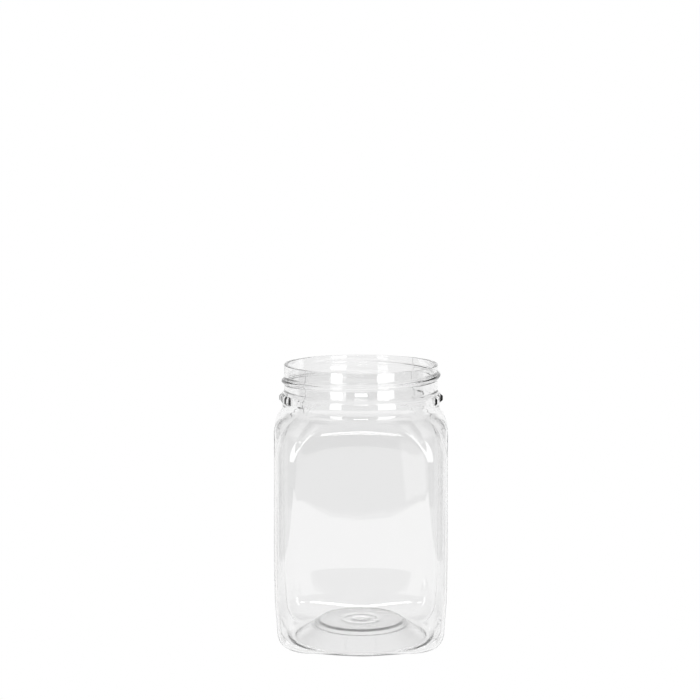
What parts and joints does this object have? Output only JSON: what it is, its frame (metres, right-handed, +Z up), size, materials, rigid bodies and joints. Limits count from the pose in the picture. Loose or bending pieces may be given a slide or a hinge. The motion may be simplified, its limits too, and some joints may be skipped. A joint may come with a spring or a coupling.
{
  "type": "square screw-neck jar",
  "caption": "Clear square plastic jar with a wide threaded neck, a tamper-evident bead and a pushed-up base, shown without its lid.",
  "frame": {"origin": "centre of the bounding box, at the height of the standing ring", "axes": "+Z up through the open neck; +X and -Y face two of the four panels, with -Y the front"},
  "size_m": [0.0688, 0.0688, 0.1101],
  "materials": {
    "clear_pet": "clear, glossy"
  },
  "bodies": {
    "root": {"neck_finish": "clear_pet", "shoulder": "clear_pet", "body_wall": "clear_pet", "heel": "clear_pet", "base_cone": "clear_pet", "base_disc": "clear_pet"}
  },
  "joints": []
}
